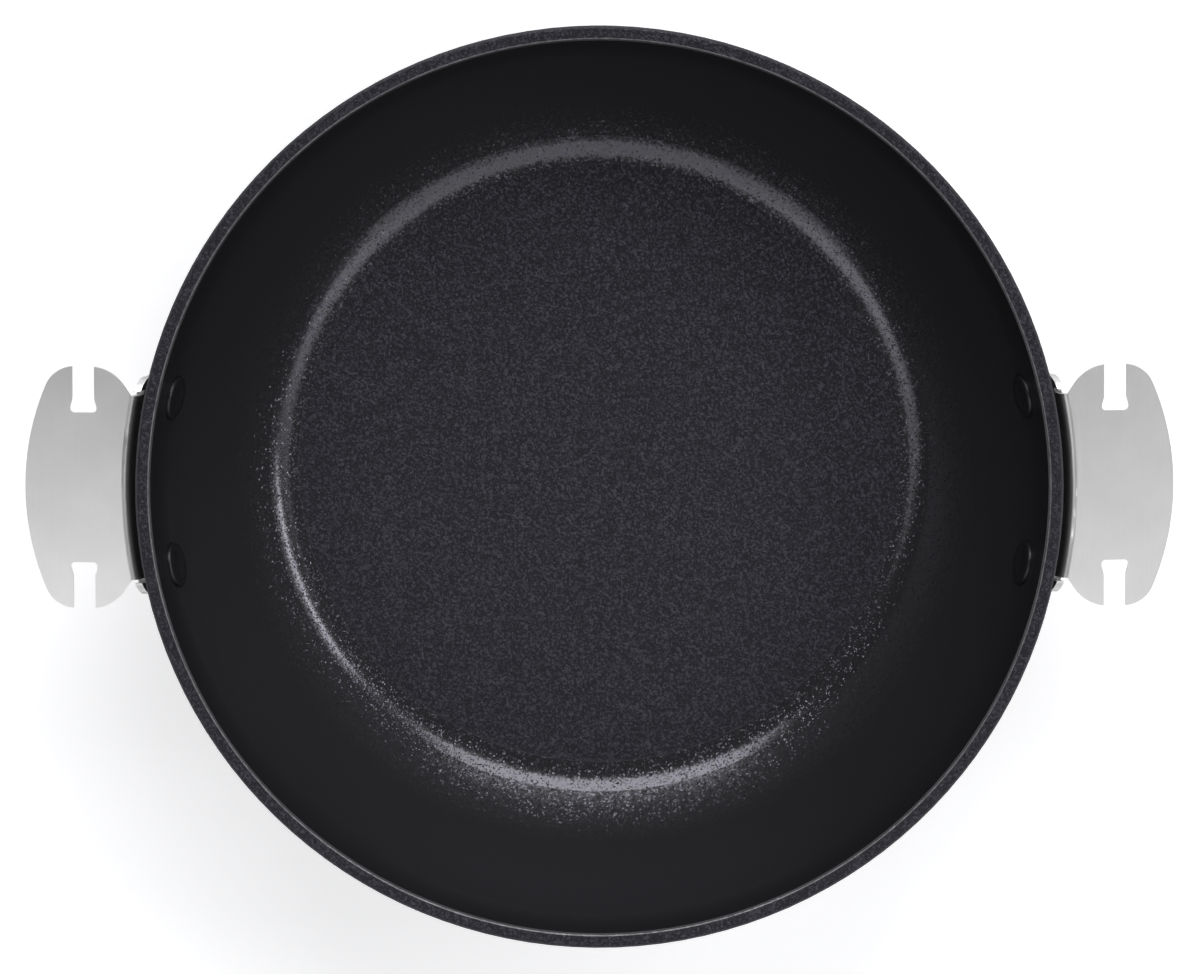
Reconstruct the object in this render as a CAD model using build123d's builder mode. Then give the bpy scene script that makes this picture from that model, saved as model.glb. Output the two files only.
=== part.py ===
"""Saute pan with two short notched plate handles.

Units are millimetres, +Z is up, and the origin is the middle of the underside.
The handles point along X. Heights are counted from the surface that the pan stands on.
"""

from build123d import *
from math import asin, cos, degrees, radians, sin, sqrt, tan
import os

os.makedirs("parts", exist_ok=True)

# Pan body, driving dimensions
rim_radius = 140.0
rim_width = 4.5
pan_depth = 70.0
wall_run = 47.2
floor_thickness = 6.0
corner_radius = 14.0
corner_turn = 38.0
rim_inner_chamfer = 0.75
rim_outer_chamfer = 1.0

# Steel disc let into the underside
disc_inset = 12.8
disc_thickness = 1.2
disc_proud = 0.4
disc_fit = 0.1
disc_edge_chamfer = 0.3

# Handle plates
plate_thickness = 2.0
bend_inside_radius = 0.6
plate_drop = 5.2
plate_droop = 8.0
handle_length = 33.5
outer_arc_radius = 79.1
lobe_half_width = 36.7
lobe_inner_share = 0.74
lobe_outer_share = 0.555
neck_inset = 8.8
shoulder_slope = 56.0

# Notches in the plates, where a clip-on grip is held
notch_distance = 15.7
notch_width = 6.6
notch_depth = 14.0
notch_root_width = 8.0
notch_root_corner = 1.2
notch_flare_start = 4.2
notch_flare_end = 1.8
notch_flare_corner = 1.5

# Flange of each handle, which lies against the wall under the rim
ear_width = 5.1
flange_below_rivet = 9.0
flange_corner = 6.0
relief_width = 1.3
relief_depth = 3.5
seat_gap = 0.05

# Rivets
rivet_inset = 2.4
rivet_drop = 23.8
shank_radius = 3.0
hole_clearance = 0.05
inner_head_radius = 6.8
inner_head_height = 1.3
inner_head_edge = 0.8
dimple_radius = 4.0
dimple_depth = 0.4
outer_head_radius = 5.5
outer_head_height = 2.0
outer_head_edge = 1.2
head_seat = 0.5

# How far the handle blanks reach past their outlines, in degrees, and how deep the holes are drilled
blank_margin = 2.0
drill_reach = 12.0

# Heights, and the inside line of the bowl: a tight corner arc and a long wall arc
underside_z = disc_proud
floor_z = underside_z + floor_thickness
rim_z = floor_z + pan_depth
inner_rim_radius = rim_radius - rim_width
floor_radius = rim_radius - wall_run
disc_radius = floor_radius - disc_inset
turn_sin = sin(radians(corner_turn))
turn_cos = cos(radians(corner_turn))
corner_end_r = floor_radius + corner_radius * turn_sin
corner_end_z = floor_z + corner_radius * (1 - turn_cos)
chord_r = inner_rim_radius - corner_end_r
chord_z = rim_z - corner_end_z
wall_radius = (chord_r**2 + chord_z**2) / (2 * (chord_z * turn_cos - chord_r * turn_sin))
wall_centre_r = corner_end_r - wall_radius * turn_sin
wall_centre_z = corner_end_z + wall_radius * turn_cos

# The outside line keeps the wall's thickness and runs into the underside on one arc
outer_wall_radius = sqrt((rim_radius - wall_centre_r) ** 2 + (rim_z - wall_centre_z) ** 2)
wall_thickness = outer_wall_radius - wall_radius
outer_end_r = corner_end_r + wall_thickness * turn_sin
outer_end_z = corner_end_z - wall_thickness * turn_cos
outer_corner_radius = (outer_end_z - underside_z) / (1 - turn_cos)
underside_radius = outer_end_r - outer_corner_radius * turn_sin

# Where a rivet crosses the wall, and the lean of the wall and the rivet there. The neck of the plate
# is narrower than its lobes, the flange is wider than the neck, and the rivets sit inside the neck's edges.
neck_half_width = lobe_half_width - neck_inset
flange_half_width = neck_half_width + ear_width
rivet_z = rim_z - rivet_drop
lean_sin = (wall_centre_z - rivet_z) / wall_radius
lean_cos = sqrt(1 - lean_sin**2)
rivet_r = wall_centre_r + wall_radius * lean_cos
rivet_turn = degrees(asin((neck_half_width - rivet_inset) / rivet_r))

# The flange is a cone that touches the wall at the rivets, and the plate is a flatter cone
seat_depth = wall_thickness + seat_gap
seat_r = rivet_r + seat_depth * lean_cos
seat_z = rivet_z - seat_depth * lean_sin
bend_radius = bend_inside_radius + plate_thickness
droop_sin = sin(radians(plate_droop))
droop_cos = cos(radians(plate_droop))
bend_centre_z = rim_z - plate_drop - bend_radius * droop_cos
flange_top_z = bend_centre_z + bend_radius * lean_sin
flange_top_r = seat_r + (flange_top_z - seat_z) * lean_sin / lean_cos
bend_centre_r = flange_top_r + bend_radius * lean_cos
flange_low_r = seat_r - flange_below_rivet * lean_sin
flange_low_z = seat_z - flange_below_rivet * lean_cos
handle_reach = rim_radius + handle_length
plate_run = handle_reach + bend_radius - bend_centre_r

# Half the angle round the pan that the blanks of flange and plate take up before they are cut to shape
flange_sweep = degrees(asin(flange_half_width / flange_low_r)) + blank_margin
plate_sweep = degrees(asin(lobe_half_width / flange_top_r)) + blank_margin

# Corner points of the plate's outline and the root of its notches, as seen from above
neck_end_r = sqrt(bend_centre_r**2 - neck_half_width**2)
shoulder_r = neck_end_r + (lobe_half_width - neck_half_width) / tan(radians(shoulder_slope))
tip_r = handle_reach - outer_arc_radius + sqrt(outer_arc_radius**2 - lobe_half_width**2)
lobe_inner_radius = lobe_inner_share * (tip_r - shoulder_r)
lobe_outer_radius = lobe_outer_share * (tip_r - shoulder_r)
notch_radius = rim_radius + notch_distance
notch_root = lobe_half_width - notch_depth

# Corner points of the bend and the plate, in an upright cut through the middle of a handle
bend_top_r = bend_centre_r + bend_radius * droop_sin
bend_top_z = bend_centre_z + bend_radius * droop_cos
bend_under_r = bend_centre_r + bend_inside_radius * droop_sin
bend_under_z = bend_centre_z + bend_inside_radius * droop_cos
plate_end_r = bend_top_r + plate_run * droop_cos
plate_end_z = bend_top_z - plate_run * droop_sin
flange_outer_r = flange_top_r + plate_thickness * lean_cos
flange_outer_z = flange_top_z - plate_thickness * lean_sin


def upright_plane(facing):
    """Plane through the pan's axis, with its x along the direction facing, in degrees from +X."""
    around = radians(facing)
    return Plane(
        origin=(0, 0, 0),
        x_dir=(cos(around), sin(around), 0),
        z_dir=(sin(around), -cos(around), 0),
    )


def plan_plane(facing):
    """Level plane, with its x along the direction facing."""
    around = radians(facing)
    return Plane(origin=(0, 0, 0), x_dir=(cos(around), sin(around), 0), z_dir=(0, 0, 1))


def front_plane(facing):
    """Upright plane square to the direction facing, with its y up and its z pointing outwards."""
    around = radians(facing)
    return Plane(
        origin=(0, 0, 0),
        x_dir=(-sin(around), cos(around), 0),
        z_dir=(cos(around), sin(around), 0),
    )


def rivet_plane(facing):
    """Plane on the inside of the wall at a rivet, with its normal along the rivet, outwards."""
    around = radians(facing)
    return Plane(
        origin=(rivet_r * cos(around), rivet_r * sin(around), rivet_z),
        x_dir=(-sin(around), cos(around), 0),
        z_dir=(lean_cos * cos(around), lean_cos * sin(around), -lean_sin),
    )


# The direction of each handle and of each rivet
handle_facings = {"left_handle": 180.0, "right_handle": 0.0}
rivet_facings = {
    "rivet_left_front": 180.0 + rivet_turn,
    "rivet_left_back": 180.0 - rivet_turn,
    "rivet_right_front": -rivet_turn,
    "rivet_right_back": rivet_turn,
}

# Bowl, turned from one profile, with a recess for the disc and four rivet holes
with BuildPart() as pan_body:
    with BuildSketch(Plane.XZ) as bowl_profile:
        with BuildLine():
            Line((0, floor_z), (floor_radius, floor_z))
            CenterArc((floor_radius, floor_z + corner_radius), corner_radius, -90, corner_turn)
            TangentArc(
                (corner_end_r, corner_end_z), (inner_rim_radius, rim_z), tangent=(turn_cos, turn_sin)
            )
            Line((inner_rim_radius, rim_z), (rim_radius, rim_z))
            TangentArc((outer_end_r, outer_end_z), (rim_radius, rim_z), tangent=(turn_cos, turn_sin))
            outer_corner_z = underside_z + outer_corner_radius
            CenterArc((underside_radius, outer_corner_z), outer_corner_radius, -90, corner_turn)
            Line((underside_radius, underside_z), (0, underside_z))
            Line((0, underside_z), (0, floor_z))
        make_face()
        chamfer(bowl_profile.vertices().sort_by_distance((inner_rim_radius, rim_z))[0], rim_inner_chamfer)
        chamfer(bowl_profile.vertices().sort_by_distance((rim_radius, rim_z))[0], rim_outer_chamfer)
    revolve(axis=Axis.Z)
    with BuildSketch(Plane.XY.offset(underside_z)):
        Circle(disc_radius + disc_fit)
    extrude(amount=disc_thickness - disc_proud, mode=Mode.SUBTRACT)
    for facing in rivet_facings.values():
        with BuildSketch(rivet_plane(facing)):
            Circle(shank_radius + hole_clearance)
        extrude(amount=drill_reach, both=True, mode=Mode.SUBTRACT)
pan_body.part.label = "pan_body"
export_step(pan_body.part, "parts/pan_body.step")

# Steel disc that fills the recess and stands a little proud, so that the pan rests on it
with BuildPart() as base_disc:
    with BuildSketch(Plane.XY):
        Circle(disc_radius)
    extrude(amount=disc_thickness)
    chamfer(base_disc.faces().sort_by(Axis.Z)[0].edges(), disc_edge_chamfer)
base_disc.part.label = "base_disc"
export_step(base_disc.part, "parts/base_disc.step")

# The two handles, each a flange, a bend and a notched plate made from one sheet
handles = {}
for name, facing in handle_facings.items():
    # Bend and plate, a turned strip cut to its outline and notches as seen from above
    with BuildPart() as plate:
        with BuildSketch(upright_plane(facing - plate_sweep)):
            with BuildLine():
                Polyline(
                    (bend_top_r, bend_top_z),
                    (plate_end_r, plate_end_z),
                    (plate_end_r - plate_thickness * droop_sin, plate_end_z - plate_thickness * droop_cos),
                    (bend_under_r, bend_under_z),
                )
                TangentArc(
                    (bend_under_r, bend_under_z),
                    (flange_outer_r, flange_outer_z),
                    tangent=(-droop_cos, droop_sin),
                )
                Line((flange_outer_r, flange_outer_z), (flange_top_r, flange_top_z))
                TangentArc(
                    (flange_top_r, flange_top_z), (bend_top_r, bend_top_z), tangent=(lean_sin, lean_cos)
                )
            make_face()
        revolve(axis=Axis.Z, revolution_arc=2 * plate_sweep)
        with BuildSketch(plan_plane(facing)) as outline:
            with BuildLine():
                Polyline(
                    (flange_low_r, 0),
                    (flange_low_r, neck_half_width),
                    (neck_end_r, neck_half_width),
                    (shoulder_r, lobe_half_width),
                    (tip_r, lobe_half_width),
                )
                mirror(about=Plane.XZ)
                ThreePointArc((tip_r, lobe_half_width), (handle_reach, 0), (tip_r, -lobe_half_width))
            make_face()
            for end in (-1, 1):
                shoulder = outline.vertices().sort_by_distance((shoulder_r, end * lobe_half_width))[0]
                fillet(shoulder, lobe_inner_radius)
                tip = outline.vertices().sort_by_distance((tip_r, end * lobe_half_width))[0]
                fillet(tip, lobe_outer_radius)
                with BuildLine():
                    notch_line = FilletPolyline(
                        (notch_radius - notch_width / 2, end * handle_reach),
                        (notch_radius - notch_width / 2, end * (notch_root + notch_flare_start)),
                        (notch_radius - notch_root_width / 2, end * (notch_root + notch_flare_end)),
                        (notch_radius - notch_root_width / 2, end * notch_root),
                        (notch_radius + notch_root_width / 2, end * notch_root),
                        (notch_radius + notch_root_width / 2, end * (notch_root + notch_flare_end)),
                        (notch_radius + notch_width / 2, end * (notch_root + notch_flare_start)),
                        (notch_radius + notch_width / 2, end * handle_reach),
                        radius=[
                            notch_flare_corner,
                            notch_root_corner,
                            notch_root_corner,
                            notch_root_corner,
                            notch_root_corner,
                            notch_flare_corner,
                        ],
                    )
                    Line(notch_line @ 1, notch_line @ 0)
                make_face(mode=Mode.SUBTRACT)
        extrude(amount=rim_z, mode=Mode.INTERSECT)

    # Flange, a turned band cut to its outline as seen from outside, with the plate joined on
    with BuildPart() as handle:
        with BuildSketch(upright_plane(facing - flange_sweep)):
            with BuildLine():
                Polyline(
                    (flange_low_r, flange_low_z),
                    (flange_top_r, flange_top_z),
                    (flange_outer_r, flange_outer_z),
                    (flange_low_r + plate_thickness * lean_cos, flange_low_z - plate_thickness * lean_sin),
                    close=True,
                )
            make_face()
        revolve(axis=Axis.Z, revolution_arc=2 * flange_sweep)
        with BuildSketch(front_plane(facing)):
            with Locations((0, (flange_top_z + flange_low_z) / 2)):
                RectangleRounded(2 * flange_half_width, flange_top_z - flange_low_z, flange_corner)
            for end in (-1, 1):
                with Locations((end * (neck_half_width + relief_width / 2), flange_top_z)):
                    Rectangle(relief_width, 2 * relief_depth, mode=Mode.SUBTRACT)
        extrude(amount=rim_radius + plate_thickness, mode=Mode.INTERSECT)
        add(plate.part)
        for rivet_facing in rivet_facings.values():
            with BuildSketch(rivet_plane(rivet_facing)):
                Circle(shank_radius + hole_clearance)
            extrude(amount=drill_reach, mode=Mode.SUBTRACT)
    handle.part.label = name
    export_step(handle.part, f"parts/{name}.step")
    handles[name] = handle.part

# The four rivets: a wide low head with a dimple inside the pan, a shank and a smaller head outside
outer_face = seat_depth + plate_thickness
head_crown = outer_face + outer_head_height
inner_land_radius = inner_head_radius - inner_head_edge
outer_land_radius = outer_head_radius - outer_head_edge
for name, facing in rivet_facings.items():
    seat = rivet_plane(facing)
    with BuildPart() as rivet:
        with BuildSketch(Plane(origin=seat.origin, x_dir=seat.x_dir, z_dir=seat.x_dir.cross(seat.z_dir))):
            with BuildLine():
                TangentArc(
                    (0, dimple_depth - inner_head_height),
                    (dimple_radius, -inner_head_height),
                    tangent=(1, 0),
                )
                Line((dimple_radius, -inner_head_height), (inner_land_radius, -inner_head_height))
                TangentArc(
                    (inner_land_radius, -inner_head_height),
                    (inner_head_radius, inner_head_edge - inner_head_height),
                    tangent=(1, 0),
                )
                Polyline(
                    (inner_head_radius, inner_head_edge - inner_head_height),
                    (inner_head_radius, head_seat),
                    (shank_radius, 0),
                    (shank_radius, outer_face),
                    (outer_head_radius, outer_face - head_seat),
                    (outer_head_radius, head_crown - outer_head_edge),
                )
                TangentArc(
                    (outer_head_radius, head_crown - outer_head_edge),
                    (outer_land_radius, head_crown),
                    tangent=(0, 1),
                )
                Polyline(
                    (outer_land_radius, head_crown),
                    (0, head_crown),
                    (0, dimple_depth - inner_head_height),
                )
            make_face()
        revolve(axis=Axis(seat.origin, seat.z_dir))
        add(pan_body.part, mode=Mode.SUBTRACT)
        for handle_part in handles.values():
            add(handle_part, mode=Mode.SUBTRACT)
    rivet.part.label = name
    export_step(rivet.part, f"parts/{name}.step")
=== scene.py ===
"""Looks of a saute pan that stands on its base, seen from above into the bowl.

Everything is in metres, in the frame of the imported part: +Z is up, the middle of the underside
is the origin, and the handles point along X.
"""

import math

import bpy
from mathutils import Matrix, Vector


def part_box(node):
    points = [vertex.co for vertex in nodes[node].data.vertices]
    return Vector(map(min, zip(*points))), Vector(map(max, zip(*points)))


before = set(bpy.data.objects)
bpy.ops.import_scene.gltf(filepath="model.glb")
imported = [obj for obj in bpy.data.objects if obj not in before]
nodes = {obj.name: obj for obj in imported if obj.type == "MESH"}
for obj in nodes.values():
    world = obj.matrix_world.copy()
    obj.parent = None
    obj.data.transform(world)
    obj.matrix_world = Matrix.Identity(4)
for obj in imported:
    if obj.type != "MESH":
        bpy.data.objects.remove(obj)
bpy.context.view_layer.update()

# The camera looks down into the bowl, a little from the back, through a long lens, as in the
# photograph. The picture is 1200 pixels wide, with 3.318 pixels to the millimetre at the rim.
picture_width = 1200
pixels_per_metre = 3318.0
camera_distance = 3.5
camera_tilt = math.radians(6.5)
camera_roll = math.radians(0.14)
sensor_width = 36.0
rim_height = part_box("pan_body")[1].z
look_at = Vector((0.00018, 0.00063, rim_height))
away = Vector((0.0, math.sin(camera_tilt), math.cos(camera_tilt)))
sideways = Vector((0.0, 1.0, 0.0)).cross(away).normalized()
across = math.cos(camera_roll) * sideways - math.sin(camera_roll) * away.cross(sideways)
upward = away.cross(across)
turn = Matrix((across, upward, away)).transposed()
lens = bpy.data.cameras.new("camera")
lens.sensor_width = sensor_width
lens.lens = sensor_width * pixels_per_metre * camera_distance / picture_width
camera = bpy.data.objects.new("camera", lens)
camera.matrix_world = Matrix.Translation(look_at + camera_distance * away) @ turn.to_4x4()
bpy.context.scene.collection.objects.link(camera)
bpy.context.scene.camera = camera


# Bowl of cast aluminium, turned on its rim and inside, with a satin black non-stick coating that
# is sprayed on and holds fine bright flecks. The coating covers the wall, the rim and the outside.
wall_black = (0.08, 0.079, 0.087, 1.0)
floor_black = (0.031, 0.03, 0.0362, 1.0)
fleck_grey = (0.081, 0.077, 0.096, 1.0)
wall_roughness = 0.2
floor_roughness = 0.45
coat_metallic = 0.77
coat_glancing_tint = (0.3, 0.3, 0.3, 1.0)
fine_to_coarse = 2.0
coat_unevenness = 0.04
floor_edge_blur = 0.0004
flaky_edge_blur = 0.012
# Painted highlight: a thin grey line, in patches, along the rim's inner corner, for the light
# caught by its small rounded edge.
edge_highlight_grey = (0.3, 0.3, 0.31, 1.0)
edge_highlight_radius = 0.1361
edge_highlight_half_width = 0.00018
edge_highlight_above = 0.0755
edge_highlight_patches_per_metre = 700.0
edge_highlight_noise_range = (0.3, 0.7)
edge_highlight_strengths = (0.5, 1.0)


def new_material(name):
    """Material with an empty node tree but for one Principled shader and its output."""
    material = bpy.data.materials.new(name)
    material.use_nodes = True
    tree = material.node_tree
    tree.nodes.clear()
    shader = tree.nodes.new("ShaderNodeBsdfPrincipled")
    output = tree.nodes.new("ShaderNodeOutputMaterial")
    tree.links.new(shader.outputs["BSDF"], output.inputs["Surface"])
    return material, tree, shader


def give_material(name, material):
    """Gives a CAD node one material in place of its own."""
    nodes[name].data.materials.clear()
    nodes[name].data.materials.append(material)


def node(tree, kind, settings=None, values=None, links=None):
    """Adds a node, sets its properties and its unlinked inputs, and links outputs to its inputs."""
    made = tree.nodes.new(kind)
    for key, value in (settings or {}).items():
        setattr(made, key, value)
    for key, value in (values or {}).items():
        made.inputs[key].default_value = value
    for key, source in (links or {}).items():
        tree.links.new(source, made.inputs[key])
    return made


def math_node(tree, operation, first, second):
    """Result of a Math node, each input being a number or an output."""
    made = node(tree, "ShaderNodeMath", {"operation": operation})
    for index, value in enumerate((first, second)):
        if isinstance(value, float):
            made.inputs[index].default_value = value
        else:
            tree.links.new(value, made.inputs[index])
    return made.outputs[0]


def remap(tree, source, low, high, start=0.0, end=1.0, curve="LINEAR"):
    """Result of a Map Range node: low to high, as the source goes from start to end."""
    ranges = {"From Min": start, "From Max": end, "To Min": low, "To Max": high}
    settings = {"interpolation_type": curve}
    return node(tree, "ShaderNodeMapRange", settings, ranges, {"Value": source}).outputs["Result"]


def axis_distance(tree, place):
    """Distance of a place from the pan's upright axis."""
    level = {1: (1.0, 1.0, 0.0)}
    flat = node(tree, "ShaderNodeVectorMath", {"operation": "MULTIPLY"}, level, {0: place})
    links = {0: flat.outputs["Vector"]}
    return node(tree, "ShaderNodeVectorMath", {"operation": "LENGTH"}, None, links).outputs["Value"]


def height_of(tree, place):
    """Upright part of a place or of a direction."""
    return node(tree, "ShaderNodeSeparateXYZ", None, None, {0: place}).outputs["Z"]


def paint_over(tree, under, over, mask):
    """Colour that is the first one, a colour or an output, and the second where the mask is 1."""
    mixed = node(tree, "ShaderNodeMix", {"data_type": "RGBA"}, {"B": over}, {"Factor": mask})
    if isinstance(under, tuple):
        mixed.inputs["A"].default_value = under
    else:
        tree.links.new(under, mixed.inputs["A"])
    return mixed.outputs["Result"]


def new_group(name, inputs, outputs):
    """Shader node group with float inputs as (name, value) and outputs as (name, socket type)."""
    group = bpy.data.node_groups.new(name, "ShaderNodeTree")
    for title, value in inputs:
        socket = group.interface.new_socket(title, in_out="INPUT", socket_type="NodeSocketFloat")
        socket.default_value = value
    for title, kind in outputs:
        group.interface.new_socket(title, in_out="OUTPUT", socket_type=kind)
    return group, group.nodes.new("NodeGroupInput"), group.nodes.new("NodeGroupOutput")


# Flecks in the coat: cells of a coarser and a finer Voronoi pattern, each with a lot of its own. A
# share of them are bright, and that share of the finer ones is tilted, so they glitter round a
# reflection. They thin out up the wall and come back on the flat of the rim.
fleck_group, fleck_in, fleck_out = new_group(
    "coating_flecks",
    (
        ("Cells per metre", 1500.0),
        ("Share", 0.3),
        ("Tilt", 0.48),
        ("Floor radius", 0.0925),
        ("Flaky radius", 0.11),
        ("Rim height", 0.076),
    ),
    (
        ("Mask", "NodeSocketFloat"),
        ("Level", "NodeSocketFloat"),
        ("Normal", "NodeSocketVector"),
    ),
)
place = node(fleck_group, "ShaderNodeTexCoord").outputs["Object"]
spacing = fleck_in.outputs["Cells per metre"]
share = fleck_in.outputs["Share"]
lots, flakes, masks = [], [], []
for scale in (spacing, math_node(fleck_group, "MULTIPLY", spacing, fine_to_coarse)):
    cells = node(fleck_group, "ShaderNodeTexVoronoi", {"feature": "F1"})
    fleck_group.links.new(place, cells.inputs["Vector"])
    fleck_group.links.new(scale, cells.inputs["Scale"])
    links = {"Color": cells.outputs["Color"]}
    lot = node(fleck_group, "ShaderNodeSeparateColor", None, None, links).outputs
    flake = math_node(fleck_group, "LESS_THAN", lot["Red"], share)
    lots.append(lot)
    flakes.append(flake)
    masks.append(math_node(fleck_group, "MULTIPLY", flake, lot["Green"]))
from_axis = axis_distance(fleck_group, place)
rim_start = fleck_in.outputs["Rim height"]
on_rim = math_node(fleck_group, "GREATER_THAN", height_of(fleck_group, place), rim_start)
zones = []
for name, blur in (("Floor radius", floor_edge_blur), ("Flaky radius", flaky_edge_blur)):
    inside = math_node(fleck_group, "SUBTRACT", fleck_in.outputs[name], from_axis)
    zone = remap(fleck_group, inside, 0.0, 1.0, -blur, blur, "SMOOTHSTEP")
    zones.append(math_node(fleck_group, "MAXIMUM", zone, on_rim))
level_zone, flaky_zone = zones
bright = math_node(fleck_group, "MAXIMUM", masks[0], masks[1])
mask = math_node(fleck_group, "MULTIPLY", bright, flaky_zone)
fleck_group.links.new(mask, fleck_out.inputs["Mask"])
fleck_group.links.new(level_zone, fleck_out.inputs["Level"])

# Lean of a cell: three of its lots, centred on zero, added to the surface's own normal.
links = {"X": lots[1]["Blue"], "Y": lots[0]["Blue"], "Z": lots[0]["Green"]}
lean = node(fleck_group, "ShaderNodeCombineXYZ", None, None, links).outputs["Vector"]
middle = {1: (0.5, 0.5, 0.5)}
centred = node(fleck_group, "ShaderNodeVectorMath", {"operation": "SUBTRACT"}, middle, {0: lean})
loose = math_node(fleck_group, "MULTIPLY", flakes[1], fleck_in.outputs["Tilt"])
uneven = math_node(fleck_group, "ADD", loose, coat_unevenness)
amount = math_node(fleck_group, "MULTIPLY", flaky_zone, uneven)
links = {0: centred.outputs["Vector"], "Scale": amount}
tilted = node(fleck_group, "ShaderNodeVectorMath", {"operation": "SCALE"}, None, links)
facing = node(fleck_group, "ShaderNodeNewGeometry").outputs["Normal"]
links = {0: facing, 1: tilted.outputs["Vector"]}
turned = node(fleck_group, "ShaderNodeVectorMath", {"operation": "ADD"}, None, links)
links = {0: turned.outputs["Vector"]}
unit = node(fleck_group, "ShaderNodeVectorMath", {"operation": "NORMALIZE"}, None, links)
fleck_group.links.new(unit.outputs["Vector"], fleck_out.inputs["Normal"])


def edge_highlight_line(tree):
    """Mask of a painted highlight: a thin line along the rim's inner corner, in patches, for the
    light caught by its rounded edge.
    """
    place = node(tree, "ShaderNodeTexCoord").outputs["Object"]
    radius = axis_distance(tree, place)
    near = {1: edge_highlight_radius, 2: edge_highlight_half_width}
    band = node(tree, "ShaderNodeMath", {"operation": "COMPARE"}, near, {0: radius}).outputs[0]
    top = math_node(tree, "GREATER_THAN", height_of(tree, place), edge_highlight_above)
    grain = {"Scale": edge_highlight_patches_per_metre, "Detail": 2.0}
    patches = node(tree, "ShaderNodeTexNoise", None, grain, {"Vector": place}).outputs["Fac"]
    strength = remap(tree, patches, *edge_highlight_strengths, *edge_highlight_noise_range)
    return math_node(tree, "MULTIPLY", math_node(tree, "MULTIPLY", band, top), strength)


def coating(name, wall, level, fleck, wall_rough, level_rough, edge_highlight):
    """Dark satin coat with a metallic sheen: flaky where it is level, and plain on the wall.

    With the last flag true, a grey line is painted along the inner corner of the rim as a
    highlight.
    """
    material, tree, shader = new_material(name)
    flecks = node(tree, "ShaderNodeGroup", {"node_tree": fleck_group}).outputs
    ground = paint_over(tree, wall, level, flecks["Level"])
    finish = paint_over(tree, ground, fleck, flecks["Mask"])
    # Painted highlight along the rim's inner corner.
    if edge_highlight:
        finish = paint_over(tree, finish, edge_highlight_grey, edge_highlight_line(tree))
    tree.links.new(finish, shader.inputs["Base Color"])
    tree.links.new(flecks["Normal"], shader.inputs["Normal"])
    if wall_rough == level_rough:
        shader.inputs["Roughness"].default_value = wall_rough
    else:
        grain = remap(tree, flecks["Level"], wall_rough, level_rough)
        tree.links.new(grain, shader.inputs["Roughness"])
    shader.inputs["Metallic"].default_value = coat_metallic
    shader.inputs["Specular Tint"].default_value = coat_glancing_tint
    return material


bowl_colours = (wall_black, floor_black, fleck_grey)
bowl_coating = coating("bowl_coating", *bowl_colours, wall_roughness, floor_roughness, True)
give_material("pan_body", bowl_coating)


# Steel disc pressed into the underside for induction hobs: bare stainless steel, faced on a lathe,
# with fine turned rings round its middle.
disc_grey = (0.56, 0.55, 0.54)
disc_roughness = 0.32
disc_groove_strength = 0.35
rings_per_metre = 1800.0
stains_per_metre = 70.0
grain_tones = (0.96, 1.02)
stain_tones = (0.93, 1.07)
roughness_spread = 0.05
groove_depth = 0.00005


def steel(name, colour, roughness, pattern, bump):
    """Bare steel: a grain and soft stains vary its tone, and the grain lifts the surface."""
    material, tree, shader = new_material(name)
    grain = pattern(tree)
    place = node(tree, "ShaderNodeTexCoord").outputs["Object"]
    blotches = {"Scale": stains_per_metre, "Detail": 3.0}
    stains = node(tree, "ShaderNodeTexNoise", None, blotches, {"Vector": place}).outputs["Fac"]
    grain_tone = remap(tree, grain, *grain_tones)
    tone = math_node(tree, "MULTIPLY", grain_tone, remap(tree, stains, *stain_tones))
    scaled = {"operation": "SCALE"}
    tint = node(tree, "ShaderNodeVectorMath", scaled, {0: colour}, {"Scale": tone})
    tree.links.new(tint.outputs["Vector"], shader.inputs["Base Color"])
    sheen = remap(tree, grain, roughness - roughness_spread, roughness + roughness_spread)
    tree.links.new(sheen, shader.inputs["Roughness"])
    depth = {"Strength": bump, "Distance": groove_depth}
    lift = node(tree, "ShaderNodeBump", None, depth, {"Height": grain})
    tree.links.new(lift.outputs["Normal"], shader.inputs["Normal"])
    shader.inputs["Metallic"].default_value = 1.0
    return material


def turned_rings(tree):
    """Noise of the distance from the pan's axis alone, so that it makes rings."""
    radius = axis_distance(tree, node(tree, "ShaderNodeTexCoord").outputs["Object"])
    fine = {"Scale": rings_per_metre, "Detail": 2.0}
    rings = node(tree, "ShaderNodeTexNoise", {"noise_dimensions": "1D"}, fine, {"W": radius})
    return rings.outputs["Fac"]


disc_steel = steel("disc_steel", disc_grey, disc_roughness, turned_rings, disc_groove_strength)
give_material("base_disc", disc_steel)


# Handles: each is one piece of 2 mm stainless sheet, blanked with its notches, bent and brushed,
# and left bare. It is riveted to the outside of the wall.
handle_grey = (0.82, 0.81, 0.812)
handle_roughness = 0.36
handle_scratch_strength = 0.1
scratches_per_metre = (2600.0, 60.0, 2600.0)


def brushed_grain(tree):
    """Noise drawn out along Y, so that it makes fine scratches that run across the handle."""
    place = {"Vector": node(tree, "ShaderNodeTexCoord").outputs["Object"]}
    drawn = node(tree, "ShaderNodeMapping", None, {"Scale": scratches_per_metre}, place)
    links = {"Vector": drawn.outputs["Vector"]}
    scratches = node(tree, "ShaderNodeTexNoise", None, {"Scale": 1.0, "Detail": 3.0}, links)
    return scratches.outputs["Fac"]


handle_finish = (handle_grey, handle_roughness, brushed_grain, handle_scratch_strength)
handle_steel = steel("handle_steel", *handle_finish)
for name in ("left_handle", "right_handle"):
    give_material(name, handle_steel)


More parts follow.
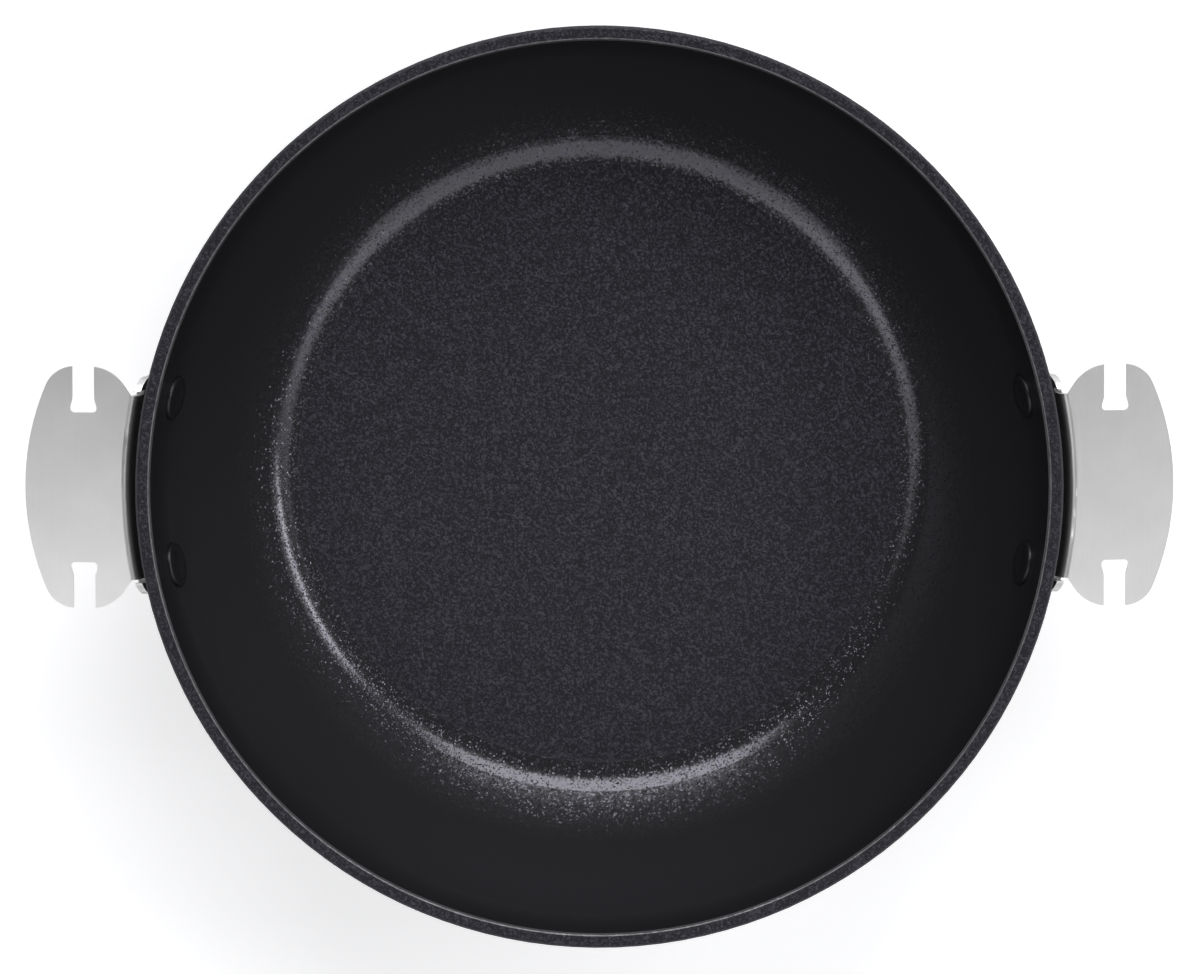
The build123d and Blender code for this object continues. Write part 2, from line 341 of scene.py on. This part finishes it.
# Rivets: solid aluminium, with a wide low head inside the bowl, coated together with it. They sit
# where the coat has no flecks, so they come out in its plain tone.
rivet_black = (0.05, 0.049, 0.055, 1.0)
rivet_fleck_grey = (0.12, 0.118, 0.13, 1.0)
rivet_roughness = 0.36
rivet_colours = (rivet_black, rivet_black, rivet_fleck_grey)
rivet_coating = coating("rivet_coating", *rivet_colours, rivet_roughness, rivet_roughness, False)
for name in ("rivet_left_front", "rivet_left_back", "rivet_right_front", "rivet_right_back"):
    give_material(name, rivet_coating)


# Studio floor: a white board just under the pan, which keeps its soft shadow. It is clear from
# below, and to the short rays between it and the steel disc, so that the underside is seen lit.
floor_half = 6.0
floor_drop = -0.0003
floor_paint = (0.88, 0.88, 0.9, 1.0)
floor_matt = 0.8
floor_lift = 0.44
short_ray = 0.002
corners = ((-1, -1), (1, -1), (1, 1), (-1, 1))
floor_mesh = bpy.data.meshes.new("studio_floor")
floor_mesh.from_pydata(
    [(x * floor_half, y * floor_half, floor_drop) for x, y in corners],
    [],
    [(0, 1, 2, 3)],
)
floor = bpy.data.objects.new("studio_floor", floor_mesh)
bpy.context.scene.collection.objects.link(floor)
floor_white, floor_tree, floor_shader = new_material("floor_white")
floor_shader.inputs["Base Color"].default_value = floor_paint
floor_shader.inputs["Roughness"].default_value = floor_matt
floor_shader.inputs["Emission Color"].default_value = (1.0, 1.0, 1.0, 1.0)
ray = node(floor_tree, "ShaderNodeLightPath").outputs
lift = math_node(floor_tree, "MULTIPLY", ray["Is Camera Ray"], floor_lift)
floor_tree.links.new(lift, floor_shader.inputs["Emission Strength"])
near = math_node(floor_tree, "LESS_THAN", ray["Ray Length"], short_ray)
below = node(floor_tree, "ShaderNodeNewGeometry").outputs["Backfacing"]
gone = math_node(floor_tree, "MAXIMUM", near, below)
clear = node(floor_tree, "ShaderNodeBsdfTransparent").outputs["BSDF"]
links = {0: gone, 1: floor_shader.outputs["BSDF"], 2: clear}
board = node(floor_tree, "ShaderNodeMixShader", None, None, links).outputs["Shader"]
floor_tree.links.new(board, floor_tree.get_output_node("ALL").inputs["Surface"])
floor_mesh.materials.append(floor_white)


# Studio lamps: soft boxes that face the pan, placed by their direction from it. Each row has the
# degrees round from +X and away from straight up, the width and height, and the watts.
lamp_distance = 1.6
for name, around, from_top, width, height, watts in (
    ("back_box", 90.0, 50.3, 1.52, 0.93, 20.5),
    ("right_box", 13.0, 49.5, 0.85, 0.3, 6.4),
    ("front_box", -90.0, 41.0, 2.4, 1.38, 10.8),
    ("left_side_box", 214.0, 34.0, 0.8, 0.9, 2.3),
    ("right_side_box", -34.0, 34.0, 0.8, 0.9, 1.6),
):
    lamp = bpy.data.lights.new(name, "AREA")
    lamp.shape = "RECTANGLE"
    lamp.size = width
    lamp.size_y = height
    lamp.energy = watts
    a, e = math.radians(around), math.radians(from_top)
    towards = Vector((math.sin(e) * math.cos(a), math.sin(e) * math.sin(a), math.cos(e)))
    holder = bpy.data.objects.new(name, lamp)
    holder.location = towards * lamp_distance + Vector((0.0, 0.0, rim_height / 2))
    holder.rotation_euler = (-towards).to_track_quat("-Z", "Y").to_euler()
    bpy.context.scene.collection.objects.link(holder)


# Studio walls: pale near the horizon and dark overhead, so that only the boxes show in the
# coating. The camera itself sees plain white.
horizon_strength = 0.85
overhead_strength = 0.03
pale_up_to = 0.1
dark_from = 0.4
world = bpy.data.worlds.new("studio")
world.use_nodes = True
sky = world.node_tree
sky.nodes.clear()
height = height_of(sky, node(sky, "ShaderNodeTexCoord").outputs["Generated"])
strengths = (horizon_strength, overhead_strength)
fall = remap(sky, height, *strengths, pale_up_to, dark_from, "SMOOTHSTEP")
seen = node(sky, "ShaderNodeLightPath").outputs["Is Camera Ray"]
white = {"Color": (1.0, 1.0, 1.0, 1.0)}
strength = {"Strength": math_node(sky, "MAXIMUM", seen, fall)}
glow = node(sky, "ShaderNodeBackground", None, white, strength).outputs["Background"]
node(sky, "ShaderNodeOutputWorld", None, None, {"Surface": glow})
bpy.context.scene.world = world
bpy.context.scene.view_settings.view_transform = "Standard"
